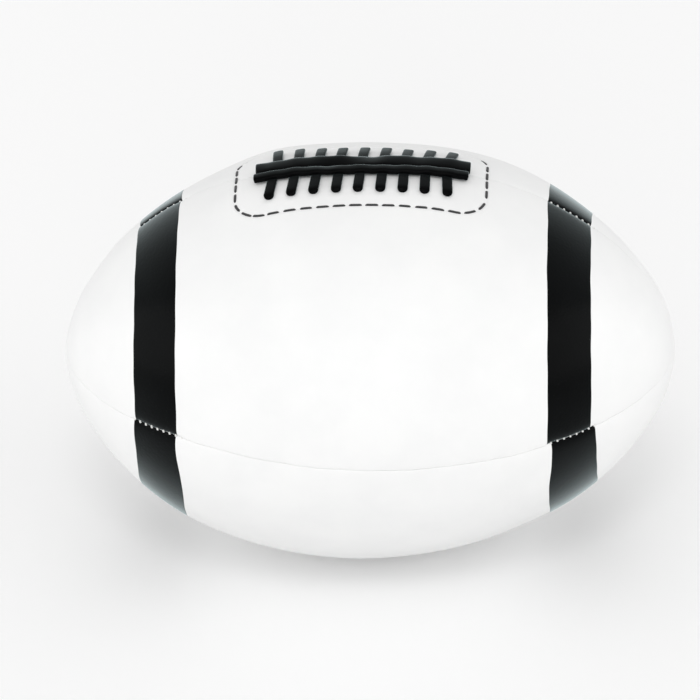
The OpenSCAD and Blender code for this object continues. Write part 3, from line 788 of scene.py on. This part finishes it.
# The frame's line on one side of the slit: half a short side, a corner, a long side and back again
SIDE_RUN = FRAME_W / 2 - FRAME_R
CORNER_RUN = FRAME_R * math.pi / 2
LONG_RUN = FRAME_LEN - 2 * FRAME_R
PATH_LEN = 2 * SIDE_RUN + 2 * CORNER_RUN + LONG_RUN
DASH_PITCH, DASH_HALF, DASH_HALF_W, DASH_HALF_T = 7.0, 2.75, 0.6, 0.38
DASH_COUNT = round(PATH_LEN / DASH_PITCH)
DASH_RISE, DASH_BEND = 0.22, 0.5
DASH_SHIFT, SHIFT_FROM, SHIFT_TO = 1.8, (24, 38), (128, 138)


def path_place(s):
    """Place on the frame's line after a run s: x from the lacing's middle and distance from the slit."""
    if s > PATH_LEN / 2:
        u, v = path_place(PATH_LEN - s)
        return -u, v
    if s < SIDE_RUN:
        return -FRAME_LEN / 2, s
    if s < SIDE_RUN + CORNER_RUN:
        t = (s - SIDE_RUN) / FRAME_R
        return -LONG_RUN / 2 - FRAME_R * math.cos(t), SIDE_RUN + FRAME_R * math.sin(t)
    return s - PATH_LEN / 2, FRAME_W / 2


def dash(i, side, panel):
    """One stitch of the frame; those along its long side lie a little further to the left."""
    half = DASH_HALF * rng.uniform(0.94, 1.06)
    t = np.linspace(-1, 1, 17)
    mid = (i + 0.5) * PATH_LEN / DASH_COUNT
    mid = mid - DASH_SHIFT * smooth(*SHIFT_FROM, mid) * (1 - smooth(*SHIFT_TO, mid))
    at = np.array([path_place(min(max(mid + half * q, 0.0), PATH_LEN)) for q in t])
    x = LACE_X + at[:, 0]
    s = at[:, 1] + rng.uniform(-0.12, 0.12) * t
    angle = side * s / meridian(x)[0]
    full = angle if side > 0 else angle + 2 * math.pi
    rise = DASH_RISE * (1 - back_row(side * s)) - DASH_BEND * np.abs(t) ** 9
    points = place(x, angle, rise - cover_drop(x, full, panel))
    out = directions(x, angle)[2]
    wide = np.cross(out, unit(np.gradient(points, axis=0)))
    half_w, half_t = DASH_HALF_W * (1 - 0.3 * t ** 8), DASH_HALF_T * (1 - 0.25 * t ** 8)
    return sweep(points, wide, out, half_w, half_t, sides=10, power=2.0)


for side, name in LACED_SIDES:
    parts = [dash(i, side, name + "_upper") for i in range(DASH_COUNT)]
    obj = new_object("facing_dashes_" + name, *gather(parts))
    finish_piece(obj, "thread_black", "facing_stitches_" + name)

# Valve: a rubber sleeve a little below the cover and the self-closing plug in it, as (radius, height)

SLEEVE = [(3.4, -17.5), (3.4, -1.0), (3.5, -0.75), (3.75, -0.6), (4.3, -0.55), (4.75, -0.66), (4.96, -0.9),
          (5.0, -1.2), (5.0, -5.2), (11, -5.25), (11, -6.15), (5.0, -6.2), (5.0, -19.0), (3.4, -19.0)]
PLUG = [(1.0, -12.2), (1.0, -2.0), (1.06, -1.6), (1.3, -1.25), (1.8, -1.0), (2.5, -0.85), (3.0, -0.8),
        (3.22, -0.92), (3.3, -1.2), (3.3, -16.2), (0.02, -16.2), (0.02, -12.2)]
valve_stem = new_object("valve_stem", *lathe(SLEEVE, VALVE_X, VALVE_ANGLE))
finish_piece(valve_stem, "valve_rubber", "valve_sleeve")
valve_core = new_object("valve_core", *lathe(PLUG, VALVE_X, VALVE_ANGLE))
finish_piece(valve_core, "plug_rubber", "valve_plug")

# Inner layers keep their solids

INNER = {
    "lining_cloth": ["lining_" + panel for panel in PANELS],
    "facing_cloth": ["lace_facing_front", "lace_facing_back", "valve_patch"],
    "tongue_hide": ["lace_tongue"],
    "bladder_rubber": ["bladder"],
}
for slot, names in INNER.items():
    for name in names:
        dress(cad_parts[name], slot)

# Floor: pale paper just under the ball, seen a little lighter than the light makes it

FLOOR_GAP, FLOOR_HALF = 0.3, 9000.0
FLOOR_ALBEDO, FLOOR_LIFT = 0.88, 0.125

scene = bpy.context.scene
scene.view_settings.view_transform = "Standard"

floor_mesh = bpy.data.meshes.new("floor")
floor_z = -(MID_RADIUS + FLOOR_GAP)
corners = [(x * FLOOR_HALF, y * FLOOR_HALF, floor_z) for x, y in ((-1, -1), (1, -1), (1, 1), (-1, 1))]
floor_mesh.from_pydata((np.array(corners) * MM).tolist(), [], [(0, 1, 2, 3)])
floor = bpy.data.objects.new("floor", floor_mesh)
scene.collection.objects.link(floor)

floor_paper, tree, out = node_tree("floor_paper")
paper = add(tree, "ShaderNodeBsdfDiffuse", {"Color": (FLOOR_ALBEDO,) * 3 + (1,)})
seen = add(tree, "ShaderNodeLightPath").outputs
mirrored = math_node(tree, "MAXIMUM", seen["Is Glossy Ray"], seen["Is Transmission Ray"])
shown = math_node(tree, "MAXIMUM", seen["Is Camera Ray"], mirrored)
lift = math_node(tree, "MULTIPLY", shown, FLOOR_LIFT)
glow = add(tree, "ShaderNodeEmission", {"Color": (1, 1, 1, 1), "Strength": lift})
both = add(tree, "ShaderNodeAddShader", {0: paper.outputs[0], 1: glow.outputs[0]})
tree.links.new(both.outputs[0], out.inputs[0])
floor_mesh.materials.append(floor_paper)

# Light: a white tent all round, soft lamps high and low in front and one low at each side

TENT_LEVEL = 0.75

world = bpy.data.worlds.new("tent")
scene.world = world
world.use_nodes = True
tent = world.node_tree.nodes["Background"].inputs
tent["Color"].default_value = (1, 1, 1, 1)
tent["Strength"].default_value = TENT_LEVEL


def toward(azimuth, elevation):
    """Direction from the ball, in degrees from the front and up from level."""
    az, el = math.radians(azimuth), math.radians(elevation)
    return Vector((math.sin(az) * math.cos(el), -math.cos(az) * math.cos(el), math.sin(el)))


def sun(name, azimuth, elevation, level, spread):
    """Soft lamp, in degrees; level is what it adds to a white surface that faces it."""
    lamp = bpy.data.lights.new(name, "SUN")
    lamp.energy = level * math.pi
    lamp.angle = math.radians(spread)
    obj = bpy.data.objects.new(name, lamp)
    obj.rotation_euler = toward(azimuth, elevation).to_track_quat("Z", "Y").to_euler()
    scene.collection.objects.link(obj)


sun("key", azimuth=1, elevation=55, level=0.1, spread=16)
sun("fill", azimuth=-2, elevation=6, level=0.215, spread=40)
sun("side_left", azimuth=-78, elevation=4, level=0.28, spread=50)
sun("side_right", azimuth=78, elevation=4, level=0.28, spread=50)

# Camera: the photograph's view in degrees, a long lens far away

AZIMUTH, ELEVATION, ROLL = 2.44, 30.5, -1.45
DISTANCE, CLIP_END, LENS, SENSOR = 3325.0, 100000.0, 391.6, 36.0
# Where the photograph has the ball's middle, in pixels, and how long half of the ball is there
BALL_PX, HALF_LENGTH_PX, IMAGE_MID_PX = (370.0, 349.7), 304.59, 350

aim = toward(AZIMUTH, ELEVATION)
turn = aim.to_track_quat("Z", "Y") @ Matrix.Rotation(math.radians(ROLL), 3, "Z").to_quaternion()
right, upward = turn @ Vector((1, 0, 0)), turn @ Vector((0, 1, 0))
off_middle = (BALL_PX[1] - IMAGE_MID_PX) * upward - (BALL_PX[0] - IMAGE_MID_PX) * right
mm_per_px = HALF_LENGTH / HALF_LENGTH_PX
camera_data = bpy.data.cameras.new("camera")
camera_data.lens, camera_data.sensor_width, camera_data.clip_end = LENS, SENSOR, CLIP_END * MM
camera = bpy.data.objects.new("camera", camera_data)
camera.location = (aim * DISTANCE + off_middle * mm_per_px) * MM
camera.rotation_euler = turn.to_euler()
scene.collection.objects.link(camera)
scene.camera = camera

bpy.context.view_layer.update()
